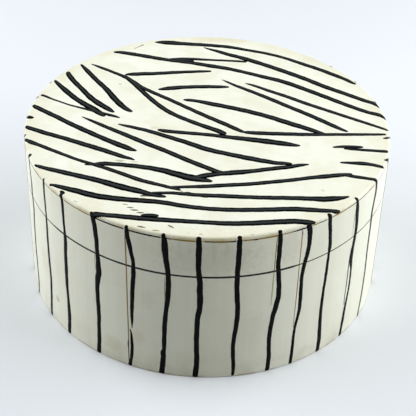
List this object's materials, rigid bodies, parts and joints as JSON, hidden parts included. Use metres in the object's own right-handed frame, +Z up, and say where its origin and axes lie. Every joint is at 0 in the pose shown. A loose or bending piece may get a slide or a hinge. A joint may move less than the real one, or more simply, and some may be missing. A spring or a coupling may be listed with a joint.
{
  "type": "round trinket box",
  "caption": "Low round wooden box, staved and painted ivory with black hand-drawn stripes, with a flush lid that lifts off an inner lip.",
  "frame": {"origin": "middle of the underside, on the surface that the box stands on", "axes": "+Z up along the axis of the ring of staves, and -Y towards the viewer of the picture"},
  "size_m": [0.18, 0.18, 0.085],
  "materials": {
    "ivory_paint": "satin ivory paint over wood, with hand-drawn black stripes",
    "bare_wood": "bare sanded light-brown wood"
  },
  "bodies": {
    "base": {"base_stave_01": "ivory_paint", "base_stave_02": "ivory_paint", "base_stave_03": "ivory_paint", "base_stave_04": "ivory_paint", "base_stave_05": "ivory_paint", "base_stave_06": "ivory_paint", "base_stave_07": "ivory_paint", "base_stave_08": "ivory_paint", "base_stave_09": "ivory_paint", "base_stave_10": "ivory_paint", "base_stave_11": "ivory_paint", "base_stave_12": "ivory_paint", "base_stave_13": "ivory_paint", "base_stave_14": "ivory_paint", "base_stave_15": "ivory_paint", "base_stave_16": "ivory_paint", "base_stave_17": "ivory_paint", "base_stave_18": "ivory_paint", "base_stave_19": "ivory_paint", "base_stave_20": "ivory_paint", "base_stave_21": "ivory_paint", "base_stave_22": "ivory_paint", "base_stave_23": "ivory_paint", "base_stave_24": "ivory_paint", "base_stave_25": "ivory_paint", "base_stave_26": "ivory_paint", "base_stave_27": "ivory_paint", "base_stave_28": "ivory_paint", "base_stave_29": "ivory_paint", "base_stave_30": "ivory_paint", "base_stave_31": "ivory_paint", "base_stave_32": "ivory_paint", "floor_board": "bare_wood", "lip_ring": "bare_wood"},
    "lid": {"lid_stave_01": "ivory_paint", "lid_stave_02": "ivory_paint", "lid_stave_03": "ivory_paint", "lid_stave_04": "ivory_paint", "lid_stave_05": "ivory_paint", "lid_stave_06": "ivory_paint", "lid_stave_07": "ivory_paint", "lid_stave_08": "ivory_paint", "lid_stave_09": "ivory_paint", "lid_stave_10": "ivory_paint", "lid_stave_11": "ivory_paint", "lid_stave_12": "ivory_paint", "lid_stave_13": "ivory_paint", "lid_stave_14": "ivory_paint", "lid_stave_15": "ivory_paint", "lid_stave_16": "ivory_paint", "lid_stave_pair_17_18": "ivory_paint", "lid_stave_pair_19_20": "ivory_paint", "lid_stave_pair_21_22": "ivory_paint", "lid_stave_pair_23_24": "ivory_paint", "lid_stave_pair_25_26": "ivory_paint", "lid_stave_pair_27_28": "ivory_paint", "lid_stave_pair_29_30": "ivory_paint", "lid_stave_pair_31_32": "ivory_paint", "lid_board": "bare_wood", "lid_facing": "ivory_paint"}
  },
  "joints": [
    {"name": "lid_lift", "type": "slide", "parent": "base", "child": "lid", "axis": [0, 0, 1], "range_m": [0, 0.06]}
  ]
}
